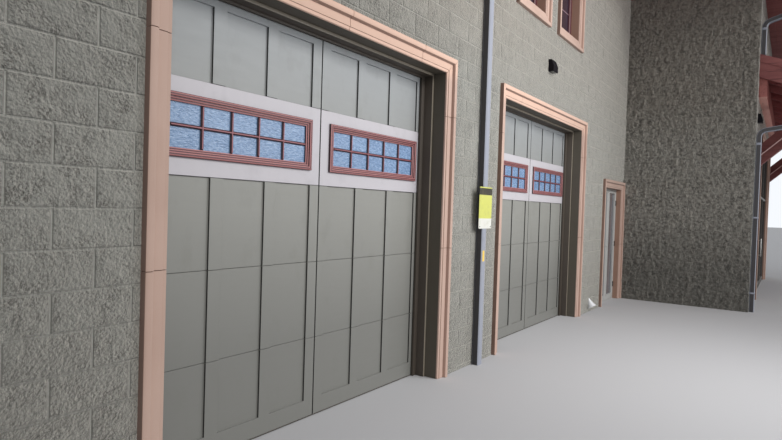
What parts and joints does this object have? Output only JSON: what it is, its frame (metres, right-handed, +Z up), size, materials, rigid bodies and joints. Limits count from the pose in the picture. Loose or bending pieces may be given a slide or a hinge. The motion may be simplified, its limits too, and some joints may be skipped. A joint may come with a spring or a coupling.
{
  "type": "office warehouse building",
  "caption": "Two-storey block office warehouse with panelled overhead doors, stone door surrounds, a hipped roof and a lean-to timber canopy on its wing.",
  "frame": {"origin": "centre of the building's footprint box at ground level", "axes": "+Z up, the front with the overhead doors faces -Y, +X runs along the front towards the wing"},
  "size_m": [22.588, 15.66, 8.8068],
  "materials": {
    "block": "painted split-face block",
    "surround_stone": "smooth cast stone",
    "concrete": "trowelled concrete",
    "shingle": "granule shingle",
    "red_timber": "stained timber",
    "gutter_metal": "satin paint",
    "door_paint": "satin paint",
    "pale_paint": "satin paint",
    "red_paint": "satin paint",
    "obscured_glass": "pebbled glass",
    "clear_glass": "clear glass",
    "dark_steel": "dark paint",
    "dark_door_paint": "satin paint",
    "pull_metal": "brushed",
    "light_metal": "black paint",
    "nozzle_metal": "polished",
    "plate_paint": "painted plate"
  },
  "bodies": {
    "building": {"front_wall_piers": "block", "front_wall_upper": "block", "wall_over_service_door": "block", "left_wall": "block", "back_wall": "block", "right_wall": "block", "wing_side_wall": "block", "wing_front_piers": "block", "wing_front_upper": "block", "overhead_door_1_surround": "surround_stone", "overhead_door_2_surround": "surround_stone", "service_door_surround": "surround_stone", "entrance_door_surround": "surround_stone", "window_surrounds": "surround_stone", "ground_floor": "concrete", "upper_floor": "concrete", "roof_front": "shingle", "roof_back": "shingle", "roof_left": "shingle", "roof_right": "shingle", "wing_roof_front": "shingle", "wing_roof_left": "shingle", "canopy_roof": "shingle", "soffit": "red_timber", "fascia": "red_timber", "canopy_barge_boards": "red_timber", "canopy_edge_board": "red_timber", "canopy_ledger": "red_timber", "canopy_braces": "red_timber", "canopy_soffit": "red_timber", "canopy_rafters": "red_timber", "gutters": "gutter_metal", "downspouts": "gutter_metal", "overhead_door_1_sections": "door_paint", "overhead_door_2_sections": "door_paint", "overhead_door_1_window_section": "pale_paint", "overhead_door_2_window_section": "pale_paint", "service_door_frame": "pale_paint", "overhead_door_1_window_frames": "red_paint", "overhead_door_2_window_frames": "red_paint", "window_frames": "red_paint", "overhead_door_1_glass": "obscured_glass", "overhead_door_2_glass": "obscured_glass", "entrance_screen_glass": "clear_glass", "window_glass": "clear_glass", "overhead_door_1_frame": "dark_steel", "overhead_door_2_frame": "dark_steel", "entrance_door_frame": "dark_door_paint", "entrance_screen_frame": "dark_door_paint", "wall_lights": "light_metal", "drain_nozzle": "nozzle_metal", "notice_plate": "plate_paint"},
    "service_door_left": {"service_door_left_leaf": "pale_paint", "service_door_left_glass": "clear_glass"},
    "service_door_right": {"service_door_right_leaf": "pale_paint", "service_door_right_glass": "clear_glass"},
    "entrance_door": {"entrance_door_leaf": "dark_door_paint", "entrance_door_glass": "clear_glass", "entrance_door_pull": "pull_metal"}
  },
  "joints": [
    {"name": "service_door_left_hinge", "type": "hinge", "parent": "building", "child": "service_door_left", "pos_m": [0.8295, -3.248, 1.1], "axis": [0, 0, -1], "range_deg": [0, 90]},
    {"name": "service_door_right_hinge", "type": "hinge", "parent": "building", "child": "service_door_right", "pos_m": [1.9835, -3.248, 1.1], "axis": [0, 0, 1], "range_deg": [0, 90]},
    {"name": "entrance_door_hinge", "type": "hinge", "parent": "building", "child": "entrance_door", "pos_m": [4.7525, -5.583, 1.1], "axis": [0, 0, -1], "range_deg": [0, 90]}
  ]
}
